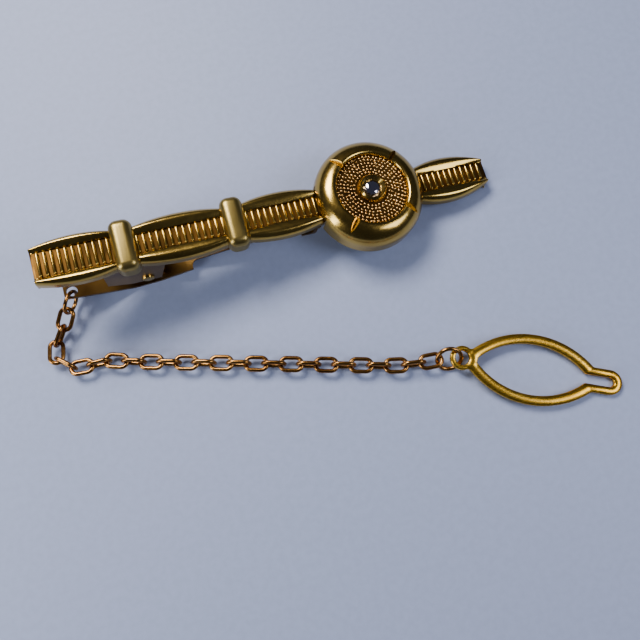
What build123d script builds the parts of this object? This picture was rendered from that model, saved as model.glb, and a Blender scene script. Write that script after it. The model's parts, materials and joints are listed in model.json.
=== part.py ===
"""Tie clip with a spring-lever clip on its back, a safety chain and a button loop.

It lies on a table as it does when it is put down: the spring lever holds the left end up, and the tip
of the right end touches. +X runs along the bar from its left end to its right, +Y is the side away from
the chain, +Z is up, and the origin is the middle of the whole footprint. Sizes are in millimetres.
"""
from build123d import *
from math import asin, cos, degrees, radians, sin, tan
import os

# ---- the bar: a stamped shell, drawn with its left end at X=0 and its top face at Z=0
BAR_LENGTH = 60.0
BAR_DEPTH = 2.2            # height of the turned-down sides
SHEET = 0.5                # thickness of the stamped sheet
LEAN = 9.4                 # degrees that the bar leans, left end up
LOBE_HALF = 3.05           # half width at the middle of a segment
WAIST_HALF = 2.15          # half width where two segments meet
LEFT_HALF, TIP_HALF = 2.3, 1.75     # half widths at the left and the right end
WAISTS = (10.9, 24.7, 36.6, 49.2)   # where one segment ends and the next begins
LOBE_RISE = 0.55           # how far the rounded lobes stand above the ribbed channel's floor
LOBE_ROUND = 0.5
CHANNEL_HALVES = (1.6, 1.2, 1.2, 1.2, 1.2)           # half width of each segment's channel
RIB_PITCH = 0.82
RIB_WIDTH = 0.42
RIB_HEIGHT = 0.36
COLLAR_WIDTH = 2.9
COLLAR_HALF = 3.35
COLLAR_RISE = 0.9
COLLAR_ROUND = 1.1
COLLAR_BORE = 2.55         # half width of the opening that the bar passes through

# ---- the medallion, centred on the bar at MEDALLION_X
MEDALLION_X = 42.9
RIM_RADIUS = 7.35
RIM_WALL = 0.5
RIM_SHOULDER = -0.6        # height from the bar's top face where the rim starts to round over
RIM_CREST = 1.95
CREST_RADIUS = 5.25
PLATE_RADIUS = 4.65
PLATE_TOP = 1.35           # height of the beaded disc
PLATE_THICK = 0.5
NOTCHES = (44, 130, 229, 319)       # degrees round the rim from +X
NOTCH_WIDTH, NOTCH_DEPTH, NOTCH_SLOPE = 1.0, 0.6, 14
CUP_RADIUS = 1.95
CUP_CREST_RADIUS = 1.6
CUP_RISE = 0.8             # height of the cup's crest above the disc
STEM_RADIUS = 1.1
STONE_RADIUS = 1.02
STONE_TABLE = 0.58
GIRDLE = 0.3               # height of the stone's girdle above the disc

# ---- the spring-lever clip on the back
PLATE_FROM, PLATE_TO = 3.6, 36.2    # the back plate, along the bar
PLATE_HALF = 2.35
CLIP_SHEET = 0.45
EAR_FROM, EAR_TO = 7.4, 15.2
EAR_DEPTH = 5.7            # how far the ears reach below the back plate
PIN_X, PIN_DROP = 12.6, 4.4         # the hinge pin, along the bar and below the back plate
PIN_RADIUS = 0.5
PIN_HEAD = 0.8
FIT = 0.06                 # running clearance on the pin
FLANGE_HALF = 1.72         # half width over the lever's two flanges, between the ears
LEVER_HALF = 2.4           # half width of the thumb plate and of the jaw
ARM_HALF = 1.2             # half width of the arm between them
ARM_FROM, ARM_TO = 18.6, 33.4
THUMB_END, THUMB_Z = 1.6, -8.7      # the thumb plate's end
HEEL_FROM, HEEL_TO = 10.6, 14.2     # the flat heel, which lies on the table
JAW_TIP = 35.4
BITE = 0.04                # gap that the closed jaw leaves under the back plate
CHAIN_HOLE = (2.7, -1.45)
CHAIN_HOLE_RADIUS = 0.7
SPRING_WIRE = 0.3
SPRING_COIL = 0.95         # radius of the spring's coil
SPRING_PITCH = 0.42
SPRING_TURNS = 4.25

# ---- the chain: oval links, each threaded through the next
WIRE = 0.55
LINK_PITCH = 2.295
PLAY = 0.06                # free play between two links
LINK_WIDTH = 2.25
LINK_ROLL = 8.0            # degrees that the chain lies rolled over
CHAIN_HEIGHT = 1.16        # height of the straight run's centre line above the table
# which way each link lies, in degrees from +X seen from above
HEADINGS = (-122, -128, -102, -42, -5, -2, -20, -18) + (-17.1,) * 14 + (-14, -9, -5)
START_RING_RADIUS = 1.5
START_WIRE = 0.5
START_DROP = 25.0          # degrees that the start ring's centre hangs below its hole
START_EXIT = 5.0           # degrees below level where the chain leaves the start ring
END_RING_RADIUS = 1.6
END_RING_HEADING = -12.0
END_RING_TILT = 42.0

# ---- the button loop: a flat stamped strip, drawn with its eye's centre at X=0
LOOP_THICK = 0.7
LOOP_STRIP = 1.3           # width of the strip
EYE_HOLE, EYE_OUTER = 0.95, 1.6
OVAL_FROM, OVAL_TO = 1.0, 17.9      # the oval that goes round a button
OVAL_HALF, OVAL_END_HALF = 4.65, 1.2
NOTCH_TO = 19.7            # centre of the rounded end of the narrow notch that grips the thread
NOTCH_HALF, TIP_RADIUS = 0.62, 1.65
LOOP_HEADING = -25.4
EYE_OFFSET = 1.7           # from the end ring's centre to the eye's centre

BACK = -BAR_DEPTH                    # where the bar's open back lies
BACK_UNDER = BACK - CLIP_SHEET
PIN_Z = BACK_UNDER - PIN_DROP


def table(x):
    """Height of the table under the bar at x, in the bar's own frame."""
    return BACK - (BAR_LENGTH - x) * tan(radians(LEAN))


os.makedirs("parts", exist_ok=True)


# ---- the front -------------------------------------------------------------------------------------

def segments():
    """Left end, right end, and the half width at the left, the middle and the right of each segment."""
    ends = (0.0,) + WAISTS + (BAR_LENGTH,)
    halves = (LEFT_HALF,) + (WAIST_HALF,) * len(WAISTS) + (TIP_HALF,)
    middles = [LOBE_HALF] * (len(ends) - 1)
    middles[3] = WAIST_HALF + 0.1       # the stretch that the medallion covers is nearly straight
    return list(zip(ends, ends[1:], halves, middles, halves[1:]))


def bar_outline(inset):
    """Add the scalloped outline of the bar to a sketch; inset moves its sides inwards."""
    for left, right, half_left, half_middle, half_right in segments():
        middle = (left + right) / 2
        with BuildLine() as sides:
            near = ThreePointArc(
                (left, inset - half_left), (middle, inset - half_middle), (right, inset - half_right))
            far = ThreePointArc(
                (left, half_left - inset), (middle, half_middle - inset), (right, half_right - inset))
            Line(near @ 0, far @ 0)
            Line(near @ 1, far @ 1)
        make_face(sides.edges())


with BuildPart() as front_bar:
    with BuildSketch(Plane.XY.offset(BACK)):
        bar_outline(0)
    extrude(amount=BAR_DEPTH)
    top_edges = front_bar.faces().sort_by(Axis.Z)[-1].edges()
    fillet(top_edges.filter_by(GeomType.CIRCLE), radius=LOBE_ROUND)
    with BuildSketch(Plane.XY.offset(BACK)):
        bar_outline(SHEET)
        with Locations((SHEET / 2, 0), (BAR_LENGTH - SHEET / 2, 0)):
            Rectangle(SHEET, 2 * LOBE_HALF, mode=Mode.SUBTRACT)
    extrude(amount=BAR_DEPTH - LOBE_RISE - SHEET, mode=Mode.SUBTRACT)
    for (left, right, _, _, _), half in zip(segments(), CHANNEL_HALVES):
        open_from, open_to = max(left, 0.1), right + (0.5 if right == BAR_LENGTH else 0)
        with BuildSketch(Plane.XY):
            with Locations(((open_from + open_to) / 2, 0)):
                Rectangle(open_to - open_from, 2 * half)
        extrude(amount=-LOBE_RISE, mode=Mode.SUBTRACT)
    for (left, right, _, _, _), half in zip(segments(), CHANNEL_HALVES):
        if left < MEDALLION_X < right:
            continue                # the medallion covers this segment
        places = [left + RIB_PITCH * (i + 1) for i in range(int((right - left) / RIB_PITCH) - 1)]
        with BuildSketch(Plane.XY.offset(-LOBE_RISE)):
            with Locations(*[(x, 0) for x in places]):
                SlotOverall(2 * half + 0.1, RIB_WIDTH, rotation=90)
        extrude(amount=RIB_HEIGHT)
front_bar.part.label = "front_bar"


def make_collar(middle, name):
    """A rounded band over the waist between two segments, open underneath."""
    with BuildPart() as collar:
        with BuildSketch(Plane.YZ.offset(middle - COLLAR_WIDTH / 2)):
            with Locations((0, (COLLAR_RISE + BACK) / 2)):
                RectangleRounded(2 * COLLAR_HALF, COLLAR_RISE - BACK, COLLAR_ROUND)
        extrude(amount=COLLAR_WIDTH)
        fillet(collar.edges().filter_by(Plane.YZ), radius=0.5)
        with BuildSketch(Plane.XY.offset(BACK)):
            with Locations((middle, 0)):
                Rectangle(COLLAR_WIDTH, 2 * COLLAR_BORE)
        extrude(amount=BAR_DEPTH + 0.02, mode=Mode.SUBTRACT)
    collar.part.label = name
    return collar.part


collar_left = make_collar(WAISTS[0], "collar_left")
collar_right = make_collar(WAISTS[1], "collar_right")


# ---- the medallion ---------------------------------------------------------------------------------

MEDALLION_PLANE = Plane(origin=(MEDALLION_X, 0, 0), x_dir=(1, 0, 0), z_dir=(0, -1, 0))
MEDALLION_AXIS = Axis((MEDALLION_X, 0, 0), (0, 0, 1))
SEAT = PLATE_TOP - PLATE_THICK       # underside of the beaded disc

with BuildPart() as medallion_rim:
    with BuildSketch(MEDALLION_PLANE):
        with BuildLine():
            wall = Line((RIM_RADIUS, BACK), (RIM_RADIUS, RIM_SHOULDER))
            dome = ThreePointArc(wall @ 1, (RIM_RADIUS - 0.75, 1.2), (CREST_RADIUS, RIM_CREST))
            lip = ThreePointArc(dome @ 1, (CREST_RADIUS - 0.35, 1.87), (PLATE_RADIUS + 0.05, 1.6))
            inside = Polyline(
                lip @ 1,
                (PLATE_RADIUS + 0.05, SEAT),
                (PLATE_RADIUS - 0.5, SEAT),
                (PLATE_RADIUS - 0.5, SEAT - RIM_WALL),
                (CREST_RADIUS + 0.1, SEAT - RIM_WALL),
                (RIM_RADIUS - RIM_WALL, RIM_SHOULDER - 0.4),
                (RIM_RADIUS - RIM_WALL, BACK),
                wall @ 0,
            )
        make_face()
    revolve(axis=MEDALLION_AXIS)
    with BuildSketch(Plane.XY.offset(BACK)):
        with Locations((MEDALLION_X, 0)):
            Rectangle(2 * RIM_RADIUS + 1, 2 * WAIST_HALF + 0.9)
    extrude(amount=BAR_DEPTH + 0.03, mode=Mode.SUBTRACT)
    for angle in NOTCHES:
        out = Vector(cos(radians(angle)), sin(radians(angle)), 0)
        start = Vector(MEDALLION_X, 0, RIM_CREST + 0.2) + out * PLATE_RADIUS
        fall = out * cos(radians(NOTCH_SLOPE)) - Vector(0, 0, sin(radians(NOTCH_SLOPE)))
        with BuildSketch(Plane(origin=start, x_dir=(-out.Y, out.X, 0), z_dir=fall)):
            Polygon(
                (-NOTCH_WIDTH / 2, 0.8), (NOTCH_WIDTH / 2, 0.8), (NOTCH_WIDTH / 2, 0.2),
                (0, -NOTCH_DEPTH), (-NOTCH_WIDTH / 2, 0.2), align=None)
        extrude(amount=3, mode=Mode.SUBTRACT)
medallion_rim.part.label = "medallion_rim"

with BuildPart() as beaded_disc:
    with BuildSketch(Plane.XY.offset(SEAT)):
        with Locations((MEDALLION_X, 0)):
            Circle(PLATE_RADIUS)
            Circle(STEM_RADIUS + 0.02, mode=Mode.SUBTRACT)
    extrude(amount=PLATE_THICK)
beaded_disc.part.label = "beaded_disc"

with BuildPart() as stone_setting:
    with BuildSketch(MEDALLION_PLANE):
        with BuildLine():
            side = ThreePointArc(
                (CUP_RADIUS, PLATE_TOP),
                (CUP_RADIUS - 0.08, PLATE_TOP + CUP_RISE * 0.55),
                (CUP_CREST_RADIUS, PLATE_TOP + CUP_RISE),
            )
            Polyline(
                side @ 1,
                (CUP_CREST_RADIUS - 0.1, PLATE_TOP + CUP_RISE),
                (STONE_RADIUS + 0.04, PLATE_TOP + GIRDLE + 0.08),
                (STONE_RADIUS + 0.04, PLATE_TOP + GIRDLE - 0.04),
                (0, SEAT - 0.1),
                (0, SEAT - 0.4),
                (STEM_RADIUS, SEAT - 0.4),
                (STEM_RADIUS, PLATE_TOP),
                side @ 0,
            )
        make_face()
    revolve(axis=MEDALLION_AXIS)
stone_setting.part.label = "stone_setting"

with BuildPart() as rhinestone:
    girdle_top = PLATE_TOP + GIRDLE + 0.06
    girdle_bottom = PLATE_TOP + GIRDLE
    with BuildSketch(Plane.XY.offset(girdle_bottom)):
        with Locations((MEDALLION_X, 0)):
            RegularPolygon(STONE_RADIUS, 12)
    extrude(amount=girdle_top - girdle_bottom)
    for level, radius, height in ((girdle_top, STONE_TABLE, 0.32), (girdle_bottom, 0.06, -0.68)):
        with BuildSketch(Plane.XY.offset(level)):
            with Locations((MEDALLION_X, 0)):
                RegularPolygon(STONE_RADIUS, 12)
        with BuildSketch(Plane.XY.offset(level + height)):
            with Locations((MEDALLION_X, 0)):
                RegularPolygon(radius, 12)
        loft()
rhinestone.part.label = "rhinestone"


# ---- the clip --------------------------------------------------------------------------------------

def beside(points, gap):
    """The same run of points moved to its left by gap, with mitred corners."""
    runs = [(Vector(*b) - Vector(*a)).normalized() for a, b in zip(points, points[1:])]
    befores, afters = [runs[0]] + runs, runs + [runs[-1]]
    moved = []
    for point, before, after in zip(points, befores, afters):
        halfway = (before + after).normalized()
        left = Vector(-halfway.Y, halfway.X) * (gap / halfway.dot(after))
        moved.append((point[0] + left.X, point[1] + left.Y))
    return moved


with BuildPart() as back_plate:
    with BuildSketch(Plane.XY.offset(BACK_UNDER)):
        with Locations(((PLATE_FROM + PLATE_TO) / 2, 0)):
            RectangleRounded(PLATE_TO - PLATE_FROM, 2 * PLATE_HALF, 0.6)
    extrude(amount=CLIP_SHEET)
    ear_outline = (
        (EAR_FROM, BACK_UNDER),
        (EAR_TO, BACK_UNDER),
        (PIN_X + 1.7, BACK_UNDER - EAR_DEPTH),
        (PIN_X - 2.2, BACK_UNDER - EAR_DEPTH),
        (EAR_FROM, BACK_UNDER - EAR_DEPTH + 1.2),
    )
    for side in (-PLATE_HALF + CLIP_SHEET, PLATE_HALF):
        with BuildSketch(Plane.XZ.offset(-side)):
            Polygon(*ear_outline, align=None)
            with Locations((PIN_X, PIN_Z)):
                Circle(PIN_RADIUS, mode=Mode.SUBTRACT)
        extrude(amount=CLIP_SHEET)
back_plate.part.label = "back_plate"

with BuildPart() as hinge_pin:
    with BuildSketch(Plane.XZ.offset(-PLATE_HALF - 0.3)):
        with Locations((PIN_X, PIN_Z)):
            Circle(PIN_RADIUS)
    extrude(amount=2 * PLATE_HALF + 0.6)
    for side in (-PLATE_HALF - 0.3, PLATE_HALF):
        with BuildSketch(Plane.XZ.offset(side)):
            with Locations((PIN_X, PIN_Z)):
                Circle(PIN_HEAD)
        extrude(amount=0.3)
    heads = hinge_pin.faces().sort_by(Axis.Y)
    fillet(heads[0].edges() + heads[-1].edges(), radius=0.2)
hinge_pin.part.label = "hinge_pin"

lever_path = (
    (THUMB_END, THUMB_Z),
    (HEEL_FROM, table(HEEL_FROM)),
    (HEEL_TO, table(HEEL_TO)),
    (18.0, -8.3),
    (32.4, -4.35),
    (JAW_TIP, -4.1),
    (JAW_TIP, BACK_UNDER - BITE),
)

with BuildPart() as clip_lever:
    with BuildSketch(Plane.XZ.offset(-LEVER_HALF)):
        with BuildLine():
            under = FilletPolyline(*lever_path, radius=0.35)
            over = FilletPolyline(*beside(lever_path, CLIP_SHEET), radius=0.35)
            Line(under @ 0, over @ 0)
            Line(under @ 1, over @ 1)
        make_face()
    extrude(amount=2 * LEVER_HALF)
    thumb_end = clip_lever.faces().sort_by(Axis.X)[0]
    fillet(thumb_end.edges().filter_by(lambda edge: abs(edge.center().Y) > LEVER_HALF - 0.01), radius=0.5)
    flange_outline = (
        (HEEL_FROM - 0.8, table(HEEL_FROM) + 0.6),
        (HEEL_TO + 0.9, table(HEEL_TO) + 0.6),
        (PIN_X + 1.2, PIN_Z + 0.5),
        (PIN_X + 0.5, PIN_Z + 1.2),
        (PIN_X - 0.5, PIN_Z + 1.2),
        (PIN_X - 1.2, PIN_Z + 0.5),
    )
    for side in (-FLANGE_HALF + CLIP_SHEET, FLANGE_HALF):
        with BuildSketch(Plane.XZ.offset(-side)):
            Polygon(*flange_outline, align=None)
            with Locations((PIN_X, PIN_Z)):
                Circle(PIN_RADIUS + FIT, mode=Mode.SUBTRACT)
        extrude(amount=CLIP_SHEET)
    with BuildSketch(Plane.XY.offset(THUMB_Z - 2)):
        with Locations(CHAIN_HOLE):
            Circle(CHAIN_HOLE_RADIUS)
        with Locations(*[((ARM_FROM + ARM_TO) / 2, side * (ARM_HALF + 2)) for side in (-1, 1)]):
            RectangleRounded(ARM_TO - ARM_FROM, 4, 0.8)
    extrude(amount=8, mode=Mode.SUBTRACT)
    with BuildSketch(Plane.YZ.offset(JAW_TIP - 1)):
        with Locations(*[(y, BACK_UNDER - BITE) for y in (-1.8, -0.9, 0, 0.9, 1.8)]):
            Polygon((-0.3, 0.05), (0.3, 0.05), (0, -0.45), align=None)
    extrude(amount=2, mode=Mode.SUBTRACT)
clip_lever.part.label = "clip_lever"


# ---- the clip's spring: a coil round the pin, one leg under the back plate, one on the lever ----------

SPRING_SIDE = SPRING_PITCH * SPRING_TURNS / 2
LEG_UNDER_PLATE = BACK_UNDER - SPRING_WIRE / 2
LEG_ON_THUMB = (8.4, -9.34)

with BuildPart() as clip_spring:
    with BuildLine():
        coil = Helix(
            pitch=SPRING_PITCH,
            height=2 * SPRING_SIDE,
            radius=SPRING_COIL,
            center=(PIN_X, SPRING_SIDE, PIN_Z),
            direction=(0, -1, 0),
        )
    with BuildSketch(Plane(origin=coil @ 0, z_dir=coil % 0)):
        Circle(SPRING_WIRE / 2)
    sweep(path=coil)
    with BuildLine():
        fixed_leg = FilletPolyline(
            coil @ 0.985,
            (PIN_X + SPRING_COIL - 0.1, -SPRING_SIDE, LEG_UNDER_PLATE),
            (PIN_X - 2.8, -SPRING_SIDE, LEG_UNDER_PLATE),
            radius=0.5,
        )
    with BuildSketch(Plane(origin=fixed_leg @ 0, z_dir=fixed_leg % 0)):
        Circle(SPRING_WIRE / 2)
    sweep(path=fixed_leg)
clip_spring.part.label = "clip_spring"

with BuildPart() as spring_leg:
    with BuildLine():
        moving_leg = FilletPolyline(
            (PIN_X, SPRING_SIDE, PIN_Z - SPRING_COIL),
            (PIN_X - 1.9, SPRING_SIDE, PIN_Z - SPRING_COIL - 0.1),
            (LEG_ON_THUMB[0], SPRING_SIDE, LEG_ON_THUMB[1]),
            radius=0.5,
        )
    with BuildSketch(Plane(origin=moving_leg @ 0, z_dir=moving_leg % 0)):
        Circle(SPRING_WIRE / 2)
    sweep(path=moving_leg)
spring_leg.part.label = "spring_leg"


# ---- the chain -------------------------------------------------------------------------------------

# The bar's own frame stands on the table, leaning, with its left end up.
BAR_FRAME = Plane(
    origin=(0, 0, BAR_LENGTH * sin(radians(LEAN)) + BAR_DEPTH * cos(radians(LEAN))),
    x_dir=(cos(radians(LEAN)), 0, -sin(radians(LEAN))),
    z_dir=(sin(radians(LEAN)), 0, cos(radians(LEAN))),
)
LINK_RADIUS = (LINK_WIDTH - WIRE) / 2            # of the wire's centre line round a link's ends
LINK_APEX = (LINK_PITCH + PLAY + WIRE) / 2       # from a link's centre to its end wire's centre
LINK_INSIDE = LINK_APEX - WIRE - PLAY            # from its centre to its neighbour's end wire


def direction(heading, fall=0.0):
    """Unit vector that lies at heading from +X, seen from above, and falls below level by fall."""
    level = cos(radians(fall))
    return Vector(cos(radians(heading)) * level, sin(radians(heading)) * level, -sin(radians(fall)))


def make_ring(radius, wire, name):
    """A round wire ring about Z."""
    with BuildPart() as ring:
        Torus(radius, wire / 2)
    ring.part.label = name
    return ring.part


def make_link():
    """One oval chain link, lying flat along X."""
    straight = LINK_APEX - LINK_RADIUS
    with BuildPart() as link:
        with BuildLine():
            side = Line((-straight, -LINK_RADIUS), (straight, -LINK_RADIUS))
            end = ThreePointArc(side @ 1, (LINK_APEX, 0), (straight, LINK_RADIUS))
            Line(end @ 1, (-straight, LINK_RADIUS))
            ThreePointArc((-straight, LINK_RADIUS), (-LINK_APEX, 0), side @ 0)
        with BuildSketch(Plane(origin=side @ 0, z_dir=side % 0)):
            Circle(WIRE / 2)
        sweep()
    return link.part


def link_frame(centre, along, upright):
    """Where a link lies: X along it and Z square to its oval, which is on edge when upright."""
    side = Vector(0, 0, 1).cross(along).normalized()
    face = along.cross(side)
    roll = radians(LINK_ROLL + (90 if upright else 0))
    return Plane(origin=centre, x_dir=along, z_dir=face * cos(roll) + side * sin(roll))


hole_place = Vector(*CHAIN_HOLE, THUMB_Z + CLIP_SHEET / 2 + (THUMB_END - CHAIN_HOLE[0]) * 0.187)
hole_centre = BAR_FRAME.from_local_coords(hole_place)
start_centre = hole_centre + direction(HEADINGS[0], START_DROP) * START_RING_RADIUS
chain_start = start_centre + direction(HEADINGS[0], START_EXIT) * START_RING_RADIUS
FIRST_FALL = degrees(asin((chain_start.Z - CHAIN_HEIGHT) / (2 * LINK_PITCH)))
END_HEIGHT = END_RING_RADIUS * sin(radians(END_RING_TILT)) + WIRE / 2 + 0.02
LAST_RISE = degrees(asin((END_HEIGHT - CHAIN_HEIGHT) / (4 * LINK_INSIDE + 2 * LINK_APEX)))

# The joints of the chain lie at the end wires of its upright links, which are every second one.
link_frames = []
chain_joints = [chain_start]
for number, heading in enumerate(HEADINGS, 1):
    upright = number % 2 == 0
    fall = FIRST_FALL if number <= 2 else 0
    if number > len(HEADINGS) - 3:
        fall = -LAST_RISE
    along = direction(heading, fall)
    reach = LINK_APEX if upright else LINK_INSIDE
    link_frames.append(link_frame(chain_joints[-1] + along * reach, along, upright))
    chain_joints.append(chain_joints[-1] + along * (2 * reach))

end_along = direction(END_RING_HEADING)
end_side = Vector(0, 0, 1).cross(end_along)
end_axis = Vector(0, 0, 1) * cos(radians(END_RING_TILT)) - end_side * sin(radians(END_RING_TILT))
end_centre = chain_joints[-1] + end_along * END_RING_RADIUS
start_axis = Vector(0, 0, 1).cross(direction(HEADINGS[0]))

start_ring = make_ring(START_RING_RADIUS, START_WIRE, "start_ring")
end_ring = make_ring(END_RING_RADIUS, WIRE, "end_ring")
start_ring_frame = Plane(origin=start_centre, x_dir=direction(HEADINGS[0]), z_dir=start_axis)
end_ring_frame = Plane(origin=end_centre, x_dir=end_along, z_dir=end_axis)
chain_link = make_link()


# ---- the button loop -------------------------------------------------------------------------------

def oval(inset):
    """The oval of the button loop, moved inwards by inset."""
    middle = (OVAL_FROM + OVAL_TO) / 2
    half, end_half = OVAL_HALF - inset, max(OVAL_END_HALF - inset * 0.7, 0.25)
    left, right = OVAL_FROM + inset * 0.75, OVAL_TO - inset * 0.85
    with BuildLine() as sides:
        far = ThreePointArc((left, end_half), (middle, half), (right, end_half))
        near = ThreePointArc((left, -end_half), (middle, -half), (right, -end_half))
        Line(far @ 0, near @ 0)
        Line(far @ 1, near @ 1)
    return sides.edges()


with BuildPart() as button_loop:
    with BuildSketch() as loop_face:
        make_face(oval(0))
        Circle(EYE_OUTER)
        with Locations(((OVAL_TO - 1 + NOTCH_TO) / 2, 0)):
            Rectangle(NOTCH_TO - OVAL_TO + 1, 2 * TIP_RADIUS)
        with Locations((NOTCH_TO, 0)):
            Circle(TIP_RADIUS)
        hollows = [v for v in loop_face.vertices() if 1 < v.X < OVAL_TO and abs(v.Y) > 1]
        fillet(hollows, radius=0.5)
        make_face(oval(LOOP_STRIP), mode=Mode.SUBTRACT)
        with Locations((NOTCH_TO, 0)):
            Circle(NOTCH_HALF, mode=Mode.SUBTRACT)
        with Locations((NOTCH_TO - 2, 0)):
            Rectangle(4, 2 * NOTCH_HALF, mode=Mode.SUBTRACT)
        Circle(EYE_HOLE, mode=Mode.SUBTRACT)
    extrude(amount=LOOP_THICK / 2, both=True)
    rims = button_loop.faces().filter_by(Axis.Z).edges()
    chamfer(rims, length=0.1)
button_loop.part.label = "button_loop"

LOOP_FALL = degrees(asin((END_HEIGHT - LOOP_THICK / 2) / (NOTCH_TO + TIP_RADIUS)))
loop_along = direction(LOOP_HEADING, LOOP_FALL)
loop_frame = Plane(
    origin=end_centre + end_along * EYE_OFFSET,
    x_dir=loop_along,
    z_dir=loop_along.cross(Vector(0, 0, 1).cross(loop_along)),
)


# ---- everything in its place -----------------------------------------------------------------------

front_pieces = [
    front_bar.part,
    collar_left,
    collar_right,
    medallion_rim.part,
    beaded_disc.part,
    stone_setting.part,
    rhinestone.part,
    back_plate.part,
    hinge_pin.part,
    clip_spring.part,
    clip_lever.part,
    spring_leg.part,
]
placed = [(piece.label, BAR_FRAME.location * piece) for piece in front_pieces]
placed.append(("start_ring", start_ring_frame.location * start_ring))
for number, frame in enumerate(link_frames, 1):
    placed.append((f"chain_link_{number:02d}", frame.location * chain_link))
placed.append(("end_ring", end_ring_frame.location * end_ring))
placed.append(("button_loop", loop_frame.location * button_loop.part))

boxes = [piece.bounding_box() for _, piece in placed]
low = Vector(min(box.min.X for box in boxes), min(box.min.Y for box in boxes), min(box.min.Z for box in boxes))
high = Vector(max(box.max.X for box in boxes), max(box.max.Y for box in boxes), 0)
ORIGIN = Vector((low.X + high.X) / 2, (low.Y + high.Y) / 2, low.Z)

for name, piece in placed:
    finished = Location(-ORIGIN) * piece
    finished.label = name
    export_step(finished, f"parts/{name}.step")
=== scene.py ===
"""A tie clip with a domed medallion, a safety chain and a button loop: its pieces, finishes and stage."""
import json
from math import cos, pi, radians, sin, tau
from random import Random

import bpy
from bpy.props import FloatProperty, FloatVectorProperty, IntProperty, PointerProperty
from mathutils import Matrix, Vector


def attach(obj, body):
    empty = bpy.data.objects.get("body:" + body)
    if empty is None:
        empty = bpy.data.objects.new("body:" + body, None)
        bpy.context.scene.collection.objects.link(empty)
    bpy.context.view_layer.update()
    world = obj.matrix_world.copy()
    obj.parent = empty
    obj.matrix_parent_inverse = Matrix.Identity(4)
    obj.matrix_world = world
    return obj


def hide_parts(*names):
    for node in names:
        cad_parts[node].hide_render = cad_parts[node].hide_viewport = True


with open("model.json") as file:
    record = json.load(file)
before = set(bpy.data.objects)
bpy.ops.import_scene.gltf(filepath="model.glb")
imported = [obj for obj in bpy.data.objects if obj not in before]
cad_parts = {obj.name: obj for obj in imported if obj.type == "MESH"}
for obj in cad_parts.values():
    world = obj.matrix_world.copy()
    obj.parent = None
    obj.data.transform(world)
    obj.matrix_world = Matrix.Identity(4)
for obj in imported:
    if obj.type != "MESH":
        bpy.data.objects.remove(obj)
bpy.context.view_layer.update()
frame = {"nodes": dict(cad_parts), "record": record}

bl_info = {
    "name": "Tie Clip Maker",
    "version": (1, 0, 0),
    "blender": (4, 5, 0),
    "location": "View3D > Sidebar > Tie Clip",
    "description": "Builds a tie clip's pieces and finishes round its packed frame",
    "category": "Add Mesh",
}

MM = 0.001
JOINTS = {joint["name"]: joint for joint in frame["record"]["behaviour"]["joints"]}

# The bar's own frame: its left end at X=0 and its top face at Z=0. It leans, left end up.
LEAN = radians(9.4)
PIN_IN_BAR = Vector((12.6, 0, -7.05)) * MM
TO_BAR = Matrix.Rotation(LEAN, 4, "Y")
TO_BAR = Matrix.Translation(Vector(JOINTS["lever_hinge"]["pos_m"]) - TO_BAR @ PIN_IN_BAR) @ TO_BAR

WAISTS = (0.0, 10.9, 24.7, 36.6, 49.2, 60.0)       # millimetres along the bar, where its segments meet
WAIST_HALVES = (2.3, 2.15, 2.15, 2.15, 2.15, 1.75)
LOBE_HALVES = (3.05, 3.05, 3.05, 2.25, 3.05)
CHANNEL_HALVES = (1.6, 1.2, 1.2, 1.2, 1.2)
BACK = -1.8                                         # the open back of the bar
CREST = 0.45                                        # how far across a lobe its crest runs, from the outside
SEGMENT_ROWS = 36                                   # rows of faces along each segment
RIB_HEIGHT = -0.43                                  # middle of a rib, below the bar's top
COLLAR_WIDE, COLLAR_HALF, COLLAR_RISE = 2.9, 3.35, 0.9
CUP_RADIUS = 2.05                                   # the beads stop here, round the stone's cup


# ---- sizes and colours that a user may change ---------------------------------------------------------

class ClipSizes(bpy.types.PropertyGroup):
    channel_deep: FloatProperty(
        name="Channel depth", description="Depth of the channel below the lobes",
        default=0.55 * MM, unit="LENGTH")
    rib_pitch: FloatProperty(
        name="Rib pitch", description="Distance from rib to rib", default=0.82 * MM, unit="LENGTH")
    rib_wide: FloatProperty(
        name="Rib width", description="Width of one rib", default=0.42 * MM, unit="LENGTH")
    shell_thick: FloatProperty(
        name="Sheet", description="Thickness of the stamped sheet", default=0.4 * MM, unit="LENGTH")
    medallion_at: FloatProperty(
        name="Medallion", description="Where the medallion sits along the bar",
        default=42.9 * MM, unit="LENGTH")
    disc_radius: FloatProperty(
        name="Disc radius", description="Radius of the beaded disc", default=4.62 * MM, unit="LENGTH")
    disc_top: FloatProperty(
        name="Disc height", description="Height of the disc above the bar's top",
        default=1.35 * MM, unit="LENGTH")
    bead_pitch: FloatProperty(
        name="Bead pitch", description="Distance from bead to bead", default=0.5 * MM, unit="LENGTH")
    bead_radius: FloatProperty(
        name="Bead radius", description="Radius of a bead", default=0.175 * MM, unit="LENGTH")
    stone_radius: FloatProperty(
        name="Stone radius", description="Radius of the stone's girdle", default=1.1 * MM, unit="LENGTH")
    stone_facets: IntProperty(
        name="Stone facets", description="Main facets round the stone", default=12, min=6, max=24)


class ClipColours(bpy.types.PropertyGroup):
    floor: FloatVectorProperty(
        name="Floor", description="The surface the clip lies on", subtype="COLOR", size=3,
        default=(0.3, 0.36, 0.56))


# ---- small helpers -------------------------------------------------------------------------------------

def linear(code):
    """An sRGB hex value as a linear colour with alpha."""
    parts = [int(code[i:i + 2], 16) / 255 for i in (0, 2, 4)]
    return tuple(c / 12.92 if c <= 0.04045 else ((c + 0.055) / 1.055) ** 2.4 for c in parts) + (1.0,)


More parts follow.
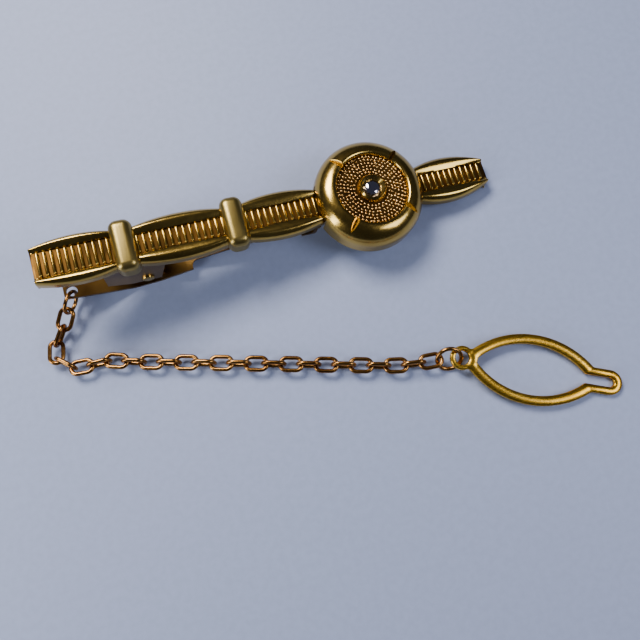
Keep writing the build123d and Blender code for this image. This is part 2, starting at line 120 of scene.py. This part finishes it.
def add_node(tree, kind, settings=None, links=None):
    """Adds a node, sets its properties or inputs, and links its inputs from other nodes' outputs."""
    made = tree.nodes.new(kind)
    for key, value in (settings or {}).items():
        if isinstance(key, int) or key in made.inputs:
            made.inputs[key].default_value = value
        else:
            setattr(made, key, value)
    for key, source in (links or {}).items():
        tree.links.new(source, made.inputs[key])
    return made


def ramp(tree, factor, stops):
    """A colour ramp with the given (place, colour) stops."""
    made = add_node(tree, "ShaderNodeValToRGB", links={"Fac": factor})
    elements = made.color_ramp.elements
    while len(elements) < len(stops):
        elements.new(0.5)
    for element, (place, colour) in zip(elements, stops):
        element.position, element.color = place, colour
    return made.outputs["Color"]


def new_material(name, settings):
    """A material with one Principled shader; returns it, its tree, its shader and Object coordinates."""
    made = bpy.data.materials.new(name)
    made.use_nodes = True
    tree = made.node_tree
    tree.nodes.clear()
    shader = add_node(tree, "ShaderNodeBsdfPrincipled", settings)
    add_node(tree, "ShaderNodeOutputMaterial", links={"Surface": shader.outputs["BSDF"]})
    coords = add_node(tree, "ShaderNodeTexCoord").outputs["Object"]
    return made, tree, shader, coords


def metal(name, light, dark, rough, rough_spread, bump, grain_mm, stretch=(1, 1, 1)):
    """A metal: a broad noise gives it two tones, and a fine one uneven polish and a slight relief."""
    made, tree, shader, coords = new_material(name, {"Metallic": 1.0})
    place = add_node(tree, "ShaderNodeMapping", {"Scale": stretch}, {"Vector": coords})
    along = {"Vector": place.outputs["Vector"]}
    broad = add_node(tree, "ShaderNodeTexNoise", {"Scale": 1 / (6 * MM), "Detail": 3.0}, along)
    fine = add_node(
        tree, "ShaderNodeTexNoise", {"Scale": 1 / (grain_mm * MM), "Detail": 4.0, "Roughness": 0.6}, along)
    tone = ramp(tree, broad.outputs["Fac"], ((0.3, linear(dark)), (0.62, linear(light))))
    tree.links.new(tone, shader.inputs["Base Color"])
    polish = add_node(
        tree, "ShaderNodeMapRange", {"To Min": rough - rough_spread, "To Max": rough + rough_spread},
        {"Value": fine.outputs["Fac"]})
    tree.links.new(polish.outputs["Result"], shader.inputs["Roughness"])
    relief = add_node(tree, "ShaderNodeBump", {"Strength": bump, "Distance": 0.02 * MM},
                      {"Height": fine.outputs["Fac"]})
    tree.links.new(relief.outputs["Normal"], shader.inputs["Normal"])
    return made


def make_finishes():
    """All the finishes by their slots' names."""
    finishes = {}
    # Gold-plated brass, polished: deep yellow mirror with a faint softness where the plate is uneven.
    finishes["polished_gold"] = metal("Gold plated brass polished", "c2a252", "a68842", 0.2, 0.06, 0.3, 0.5)
    # Gold-plated brass, satin: the same colour with a broad dull sheen and a slight olive cast.
    finishes["satin_gold"] = metal("Gold plated brass satin", "ac9657", "8f7c44", 0.33, 0.07, 0.5, 0.16)
    # Cast granulated gold: bright beads, each with its own tone.
    finishes["granulated_gold"] = metal("Granulated gold", "dcb878", "bf945a", 0.2, 0.06, 0.2, 0.3)
    # Gold in the hollows, the channel floor and the disc's ground: dull, and its dark brown is painted shade.
    finishes["recess_shade_gold"] = metal("Gold recess painted shade", "6b4c22", "33240f", 0.42, 0.1, 0.6, 0.2)
    # Gold-plated brass on the hidden side of the clip, under the bar: dull, and its brown, darker than the
    # polished front, is painted shade.
    finishes["shaded_clip_gold"] = metal("Gold plated brass painted shade", "8a6a38", "5e4422", 0.34, 0.08, 0.5, 0.2)
    # Gold-plated brass, brushed along the strip: long soft streaks.
    finishes["brushed_gold"] = metal(
        "Gold plated brass brushed", "dcae3c", "c89426", 0.27, 0.08, 0.5, 0.35, (0.12, 1, 1))
    # Gold-plated drawn wire, a little redder because the plate is thin on it.
    finishes["chain_gold"] = metal("Gold plated wire", "a8793f", "7f5428", 0.24, 0.06, 0.2, 0.4)
    # Drawn spring steel: grey with a faint straw tint.
    finishes["spring_steel"] = metal("Drawn spring steel", "a29c8f", "8c867a", 0.25, 0.05, 0.3, 0.2)
    # Foil-backed cut crystal: the foil throws nearly all the light back, so it looks like a tinted mirror.
    crystal, _, _, _ = new_material(
        "Foil backed crystal",
        {"Base Color": linear("d8cfe0"), "Roughness": 0.04, "Metallic": 1.0})
    finishes["clear_stone"] = crystal
    return finishes


def deselect():
    bpy.ops.object.select_all(action="DESELECT")


def pick(obj):
    """Makes obj the only selected and the active object."""
    deselect()
    obj.select_set(True)
    bpy.context.view_layer.objects.active = obj


def new_piece(name):
    """Names the active primitive and fixes its place in its mesh."""
    obj = bpy.context.object
    obj.name = obj.data.name = name
    pick(obj)
    bpy.ops.object.transform_apply(location=True, rotation=True, scale=True)
    return obj


def apply_modifier(obj, kind, **settings):
    pick(obj)
    made = obj.modifiers.new(kind.title(), kind)
    for key, value in settings.items():
        setattr(made, key, value)
    bpy.ops.object.modifier_apply(modifier=made.name)


def smooth(obj, degrees=35):
    pick(obj)
    bpy.ops.object.shade_smooth_by_angle(angle=radians(degrees))


def finish_piece(obj, body, slot, *nodes, also=()):
    """Gives a piece its finish, its body and the nodes that it stands for."""
    obj.data.materials.clear()
    for each in (slot, *also):
        obj.data.materials.append(FINISHES[each])
    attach(obj, body)
    if nodes:
        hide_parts(*nodes)


def refined_copy(node, name, degrees=35):
    """A copy of a node's mesh, its doubles merged and smooth shaded, at the same place."""
    mesh = frame["nodes"][node].data.copy()
    mesh.name = name
    obj = bpy.data.objects.new(name, mesh)
    bpy.context.scene.collection.objects.link(obj)
    pick(obj)
    bpy.ops.object.mode_set(mode="EDIT")
    bpy.ops.mesh.select_all(action="SELECT")
    bpy.ops.mesh.remove_doubles(threshold=0.001 * MM)
    bpy.ops.mesh.customdata_custom_splitnormals_clear()
    bpy.ops.object.mode_set(mode="OBJECT")
    smooth(obj, degrees)
    return obj


def copies_joined(model, places, name):
    """One piece of copies of the model, each with its own mesh, at the given matrices; the model is removed."""
    copies = []
    for place in places:
        copy = bpy.data.objects.new(name, model.data.copy())
        bpy.context.scene.collection.objects.link(copy)
        copy.data.transform(place)
        copies.append(copy)
    bpy.data.objects.remove(model)
    deselect()
    for copy in copies:
        copy.select_set(True)
    bpy.context.view_layer.objects.active = copies[0]
    bpy.ops.object.join()
    obj = bpy.context.object
    obj.name = obj.data.name = name
    return obj


# ---- the bar -------------------------------------------------------------------------------------------

def half_widths(x):
    """Half widths of the bar and its channel at x, in millimetres, and how far x is along its segment."""
    for left, right, half_left, half_right, top, channel in zip(
            WAISTS, WAISTS[1:], WAIST_HALVES, WAIST_HALVES[1:], LOBE_HALVES, CHANNEL_HALVES):
        if x <= right + 1e-6:
            break
    along = (x - left) / (right - left)
    base = half_left + (half_right - half_left) * along
    return base + (top - (half_left + half_right) / 2) * 4 * along * (1 - along), channel, along


def section(x, deep):
    """The bar's outline across, from its far bottom edge to the middle of the channel."""
    half, channel, along = half_widths(x)
    dip = 0.25 * abs(2 * along - 1) ** 4
    wide = half - channel
    edge = 0.3 + 0.3 * min(1, wide / 1.4)
    points = [(half, BACK), (half, BACK + 0.12), (half, -edge - 0.3 - dip), (half - 0.02, -edge - dip)]
    for step in range(1, 12):
        t = step / 11
        y = half - 0.02 - (wide - 0.08) * t
        crown = edge * abs(1 - min(t / CREST, 1)) ** 2 + 0.3 * max(0, (t - CREST) / (1 - CREST)) ** 1.7
        points.append((y, -crown - dip))
    points += [(channel + 0.02, -0.4 - dip / 2), (channel, -deep * 0.9)]
    points += [(channel - 0.06, -deep), (channel * 0.5, -deep)]
    return points


class TIECLIP_OT_bar(bpy.types.Operator):
    """Makes the scalloped shell of the bar, with rounded lobes beside its channel"""
    bl_idname = "tie_clip.bar"
    bl_label = "Bar Shell"

    def execute(self, context):
        sizes = context.scene.tie_clip_sizes
        deep = sizes.channel_deep / MM
        stations = []
        for left, right in zip(WAISTS, WAISTS[1:]):
            stations += [left + (right - left) * i / SEGMENT_ROWS for i in range(SEGMENT_ROWS)]
        stations = [WAISTS[0], *stations, WAISTS[-1], WAISTS[-1]]       # the doubled ends are the end walls
        across = len(section(1, deep)) * 2 - 1
        deselect()
        bpy.ops.mesh.primitive_grid_add(
            x_subdivisions=len(stations) - 1, y_subdivisions=across - 1, size=1)
        obj = new_piece("bar_shell")
        for index, vertex in enumerate(obj.data.vertices):
            row, column = index % len(stations), index // len(stations)
            x = stations[row]
            side = section(x, deep)
            near = column < len(side)
            y, z = side[column] if near else side[across - 1 - column]
            if column == len(side) - 1:
                y = 0
            y = -y if near else y
            if row in (0, len(stations) - 1):
                z = BACK
            vertex.co = Vector((x, y, z)) * MM
        apply_modifier(obj, "SOLIDIFY", thickness=sizes.shell_thick, offset=-1)
        apply_modifier(obj, "BEVEL", width=0.06 * MM, segments=2, limit_method="ANGLE", angle_limit=radians(50))
        obj.data.transform(TO_BAR)
        smooth(obj, 40)
        finish_piece(obj, "front", "polished_gold", "front_bar", also=("recess_shade_gold",))
        # The channel floor takes the second finish, a dark brown that is painted shade in the recess under the
        # ribs.
        to_bar = TO_BAR.inverted()
        for face in obj.data.polygons:
            centre = to_bar @ face.center
            channel = half_widths(centre.x / MM)[1] * MM
            if -1.2 * sizes.channel_deep < centre.z < -0.7 * sizes.channel_deep and abs(centre.y) < channel:
                face.material_index = 1
        return {"FINISHED"}


class TIECLIP_OT_ribs(bpy.types.Operator):
    """Makes the round-ended ribs across the channel: one is modelled and copied"""
    bl_idname = "tie_clip.ribs"
    bl_label = "Channel Ribs"

    def execute(self, context):
        sizes = context.scene.tie_clip_sizes
        deselect()
        bpy.ops.mesh.primitive_cylinder_add(
            vertices=14, radius=sizes.rib_wide / 2, depth=2 * MM, rotation=(pi / 2, 0, 0))
        rib = new_piece("rib")
        apply_modifier(rib, "BEVEL", width=0.17 * MM, segments=3, limit_method="ANGLE", angle_limit=radians(60))
        places = []
        pitch = sizes.rib_pitch / MM
        for left, right, channel in zip(WAISTS, WAISTS[1:], CHANNEL_HALVES):
            if left < sizes.medallion_at / MM < right:
                continue
            for i in range(int((right - left) / pitch) - 1):
                place = Matrix.Translation(Vector((left + pitch * (i + 1), 0, RIB_HEIGHT)) * MM)
                places.append(place @ Matrix.Diagonal((1, channel - 0.02, 1, 1)))
        obj = copies_joined(rib, places, "channel_ribs")
        obj.data.transform(TO_BAR)
        smooth(obj, 50)
        finish_piece(obj, "front", "polished_gold")
        return {"FINISHED"}


class TIECLIP_OT_collars(bpy.types.Operator):
    """Makes the two rounded satin bands over the waists"""
    bl_idname = "tie_clip.collars"
    bl_label = "Collars"

    def execute(self, context):
        scale = (COLLAR_WIDE, 2 * COLLAR_HALF, COLLAR_RISE - BACK)
        for side, middle in (("left", WAISTS[1]), ("right", WAISTS[2])):
            deselect()
            bpy.ops.mesh.primitive_cube_add(
                size=MM, location=Vector((middle, 0, (COLLAR_RISE + BACK) / 2)) * MM, scale=scale)
            obj = new_piece(f"satin_collar_{side}")
            bpy.ops.object.mode_set(mode="EDIT")
            bpy.ops.mesh.select_all(action="DESELECT")
            bpy.ops.object.mode_set(mode="OBJECT")
            for face in obj.data.polygons:
                face.select = face.normal.z < -0.9
            bpy.ops.object.mode_set(mode="EDIT")
            bpy.ops.mesh.delete(type="FACE")
            bpy.ops.object.mode_set(mode="OBJECT")
            apply_modifier(obj, "BEVEL", width=1.08 * MM, segments=9, limit_method="ANGLE", profile=0.5)
            apply_modifier(obj, "SOLIDIFY", thickness=0.3 * MM, offset=-1)
            obj.data.transform(TO_BAR)
            smooth(obj, 50)
            finish_piece(obj, "front", "satin_gold", f"collar_{side}")
        return {"FINISHED"}


# ---- the medallion -------------------------------------------------------------------------------------

class TIECLIP_OT_medallion(bpy.types.Operator):
    """Makes the domed rim, the disc and its beads"""
    bl_idname = "tie_clip.medallion"
    bl_label = "Medallion"

    def execute(self, context):
        sizes = context.scene.tie_clip_sizes
        obj = refined_copy("medallion_rim", "domed_rim", degrees=40)
        finish_piece(obj, "front", "polished_gold", "medallion_rim")
        obj = refined_copy("beaded_disc", "disc_ground")
        # The disc's ground between the beads takes the dark brown recess finish: painted shade.
        finish_piece(obj, "front", "recess_shade_gold", "beaded_disc")

        deselect()
        bpy.ops.mesh.primitive_uv_sphere_add(segments=9, ring_count=6, radius=sizes.bead_radius)
        bead = new_piece("bead")
        draw = Random(7)
        places = []
        reach = sizes.disc_radius - 0.12 * MM
        step = sizes.bead_pitch * 0.87          # rings of beads nest, nearer than beads in a ring
        rings = int((reach - CUP_RADIUS * MM) / step) + 1
        for ring in range(rings):
            radius = reach - step * ring
            count = int(tau * radius / sizes.bead_pitch)
            for i in range(count):
                angle = tau * (i + 0.5 * (ring % 2)) / count
                angle += draw.uniform(-0.16, 0.16) * sizes.bead_pitch / radius
                away = radius + draw.uniform(-0.05, 0.05) * MM
                size = draw.uniform(0.8, 1.12)
                place = Matrix.Translation((
                    sizes.medallion_at + away * cos(angle), away * sin(angle),
                    sizes.disc_top + draw.uniform(-0.05, 0.03) * MM))
                turn = Matrix.Rotation(draw.uniform(0, pi), 4, "Z")
                places.append(place @ turn @ Matrix.Diagonal((size, size, size * 0.8, 1)))
        obj = copies_joined(bead, places, "disc_beads")
        obj.data.transform(TO_BAR)
        pick(obj)
        bpy.ops.object.shade_smooth()
        finish_piece(obj, "front", "granulated_gold")
        return {"FINISHED"}


class TIECLIP_OT_stone(bpy.types.Operator):
    """Makes the cup and the faceted stone in it"""
    bl_idname = "tie_clip.stone"
    bl_label = "Stone and Cup"

    def execute(self, context):
        sizes = context.scene.tie_clip_sizes
        obj = refined_copy("stone_setting", "stone_cup", degrees=40)
        finish_piece(obj, "front", "polished_gold", "stone_setting")
        girdle = sizes.disc_top + 0.3 * MM
        deselect()
        bpy.ops.mesh.primitive_cylinder_add(
            vertices=sizes.stone_facets, radius=sizes.stone_radius, depth=0.06 * MM,
            location=(sizes.medallion_at, 0, girdle + 0.03 * MM))
        obj = new_piece("crystal_stone")
        bpy.ops.object.mode_set(mode="EDIT")
        # each extrusion's way, rise, shrink and turn, from the girdle out
        steps = (
            (1, 0.16, 0.84, 0.5), (1, 0.12, 0.72, 0.5), (1, 0.04, 0.55, 0.5),
            (-1, 0.36, 0.5, 0.5), (-1, 0.3, 0.1, 0))
        for way, rise, shrink, turn in steps:
            bpy.ops.mesh.select_all(action="DESELECT")
            bpy.ops.object.mode_set(mode="OBJECT")
            ends = [face for face in obj.data.polygons if face.normal.z * way > 0.9]
            top = max(ends, key=lambda face: face.center.z * way)
            top.select = True
            bpy.ops.object.mode_set(mode="EDIT")
            bpy.ops.mesh.select_mode(type="FACE")
            bpy.ops.mesh.extrude_region_move(TRANSFORM_OT_translate={"value": (0, 0, way * rise * MM)})
            bpy.ops.transform.resize(value=(shrink, shrink, 1), center_override=(sizes.medallion_at, 0, 0))
            bpy.ops.transform.rotate(
                value=turn * tau / sizes.stone_facets, orient_axis="Z",
                center_override=(sizes.medallion_at, 0, 0))
        bpy.ops.object.mode_set(mode="OBJECT")
        obj.data.transform(TO_BAR)
        finish_piece(obj, "front", "clear_stone", "rhinestone")
        return {"FINISHED"}


# ---- the clip ------------------------------------------------------------------------------------------

class TIECLIP_OT_clip(bpy.types.Operator):
    """Makes the back plate, the lever, the pin and the spring"""
    bl_idname = "tie_clip.clip"
    bl_label = "Spring Clip"

    def execute(self, context):
        for node, body, slot in (
                ("back_plate", "front", "polished_gold"),
                ("hinge_pin", "front", "polished_gold"),
                ("clip_spring", "front", "spring_steel"),
                ("clip_lever", "clip_lever", "polished_gold"),
                ("spring_leg", "clip_lever", "spring_steel")):
            obj = refined_copy(node, node + "_finished")
            plate = node in ("back_plate", "clip_lever")
            # The back plate and the lever lie under the bar and take the darker brown finish, which is painted
            # shade.
            finish_piece(obj, body, "shaded_clip_gold" if plate else slot, node)
        return {"FINISHED"}


# ---- the chain -----------------------------------------------------------------------------------------

class TIECLIP_OT_chain(bpy.types.Operator):
    """Makes the two rings and the oval links"""
    bl_idname = "tie_clip.chain"
    bl_label = "Chain"

    def execute(self, context):
        links = sorted(name for name in frame["nodes"] if name.startswith("chain_link_"))
        for node in ["start_ring", *links, "end_ring"]:
            obj = refined_copy(node, node + "_wire", degrees=60)
            finish_piece(obj, node, "chain_gold", node)
        return {"FINISHED"}


class TIECLIP_OT_loop(bpy.types.Operator):
    """Makes the flat button loop"""
    bl_idname = "tie_clip.loop"
    bl_label = "Button Loop"

    def execute(self, context):
        obj = refined_copy("button_loop", "flat_loop", degrees=50)
        finish_piece(obj, "button_loop", "brushed_gold", "button_loop")
        return {"FINISHED"}


# ---- the stage -----------------------------------------------------------------------------------------

class TIECLIP_OT_stage(bpy.types.Operator):
    """Makes the floor, the lights and the camera"""
    bl_idname = "tie_clip.stage"
    bl_label = "Stage"

    def execute(self, context):
        deselect()
        bpy.ops.mesh.primitive_plane_add(size=3.0)
        floor = new_piece("floor")
        made, tree, shader, coords = new_material("Smooth card", {"Roughness": 0.6})
        grain = add_node(
            tree, "ShaderNodeTexNoise", {"Scale": 1 / (0.9 * MM), "Detail": 4.0}, {"Vector": coords})
        colour = context.scene.tie_clip_colours.floor
        low, high = (tuple(c * k for c in colour) + (1.0,) for k in (0.97, 1.03))
        tone = ramp(tree, grain.outputs["Fac"], ((0.35, low), (0.65, high)))
        tree.links.new(tone, shader.inputs["Base Color"])
        floor.data.materials.append(made)

        bar_end = TO_BAR.translation
        shift = Vector((bar_end.x, bar_end.y, 0))
        camera = bpy.data.objects.new("camera", bpy.data.cameras.new("camera"))
        bpy.context.scene.collection.objects.link(camera)
        camera.data.lens, camera.data.sensor_width = 36.0, 36.0
        camera.data.clip_start = 0.001
        camera.location = Vector(CAMERA_AT) * MM + shift
        aim = Vector(CAMERA_TO) * MM + shift
        back = (camera.location - aim).normalized()
        right = Vector((cos(CAMERA_TURN), -sin(CAMERA_TURN), 0))
        right = (right - back * right.dot(back)).normalized()
        up = back.cross(right)
        camera.matrix_world = Matrix((
            (right.x, up.x, back.x, camera.location.x),
            (right.y, up.y, back.y, camera.location.y),
            (right.z, up.z, back.z, camera.location.z),
            (0, 0, 0, 1)))
        bpy.context.scene.camera = camera

        for name, place, size, watts, tint in LIGHTS:
            lamp = bpy.data.objects.new(name, bpy.data.lights.new(name, "AREA"))
            bpy.context.scene.collection.objects.link(lamp)
            lamp.data.shape = "RECTANGLE"
            lamp.data.size, lamp.data.size_y = (s * MM for s in size)
            lamp.data.energy = watts
            lamp.data.color = linear(tint)[:3]
            lamp.location = Vector(place) * MM
            lamp.rotation_euler = (-lamp.location).to_track_quat("-Z", "Y").to_euler()

        world = bpy.data.worlds.new("soft room")
        bpy.context.scene.world = world
        world.use_nodes = True
        sky = world.node_tree.nodes["Background"].inputs
        sky["Color"].default_value = linear("6a7082")
        sky["Strength"].default_value = 0.25
        return {"FINISHED"}


CAMERA_AT = (27.16, -28.75, 84.85)      # millimetres, from the floor under the bar's left end
CAMERA_TO = (31.55, -13.64, 0)
CAMERA_TURN = radians(16.2)
# name, place from the middle in millimetres, size in millimetres, watts, colour
LIGHTS = (
    ("window", (-70, 150, 190), (130, 90), 0.95, "fff8f0"),
    ("fill", (150, -60, 160), (90, 90), 0.2, "f0f2ff"),
    ("strip", (-160, -40, 70), (40, 120), 0.17, "ffffff"),
)

OPERATORS = (
    TIECLIP_OT_bar, TIECLIP_OT_ribs, TIECLIP_OT_collars, TIECLIP_OT_medallion, TIECLIP_OT_stone,
    TIECLIP_OT_clip, TIECLIP_OT_chain, TIECLIP_OT_loop, TIECLIP_OT_stage)


class TIECLIP_PT_panel(bpy.types.Panel):
    """The tie clip's pieces, in the order that they are made"""
    bl_idname = "TIECLIP_PT_panel"
    bl_label = "Tie Clip"
    bl_space_type = "VIEW_3D"
    bl_region_type = "UI"
    bl_category = "Tie Clip"

    def draw(self, context):
        for group in (context.scene.tie_clip_sizes, context.scene.tie_clip_colours):
            for name in group.bl_rna.properties.keys():
                if name not in ("rna_type", "name"):
                    self.layout.prop(group, name)
        for operator in OPERATORS:
            self.layout.operator(operator.bl_idname)


CLASSES = (ClipSizes, ClipColours, *OPERATORS, TIECLIP_PT_panel)


def register():
    for each in CLASSES:
        bpy.utils.register_class(each)
    bpy.types.Scene.tie_clip_sizes = PointerProperty(type=ClipSizes)
    bpy.types.Scene.tie_clip_colours = PointerProperty(type=ClipColours)


def unregister():
    del bpy.types.Scene.tie_clip_sizes, bpy.types.Scene.tie_clip_colours
    for each in reversed(CLASSES):
        bpy.utils.unregister_class(each)


def main():
    register()
    FINISHES.update(make_finishes())
    for operator in OPERATORS:
        group, name = operator.bl_idname.split(".")
        getattr(getattr(bpy.ops, group), name)()


FINISHES = {}

if __name__ == "__main__":
    main()
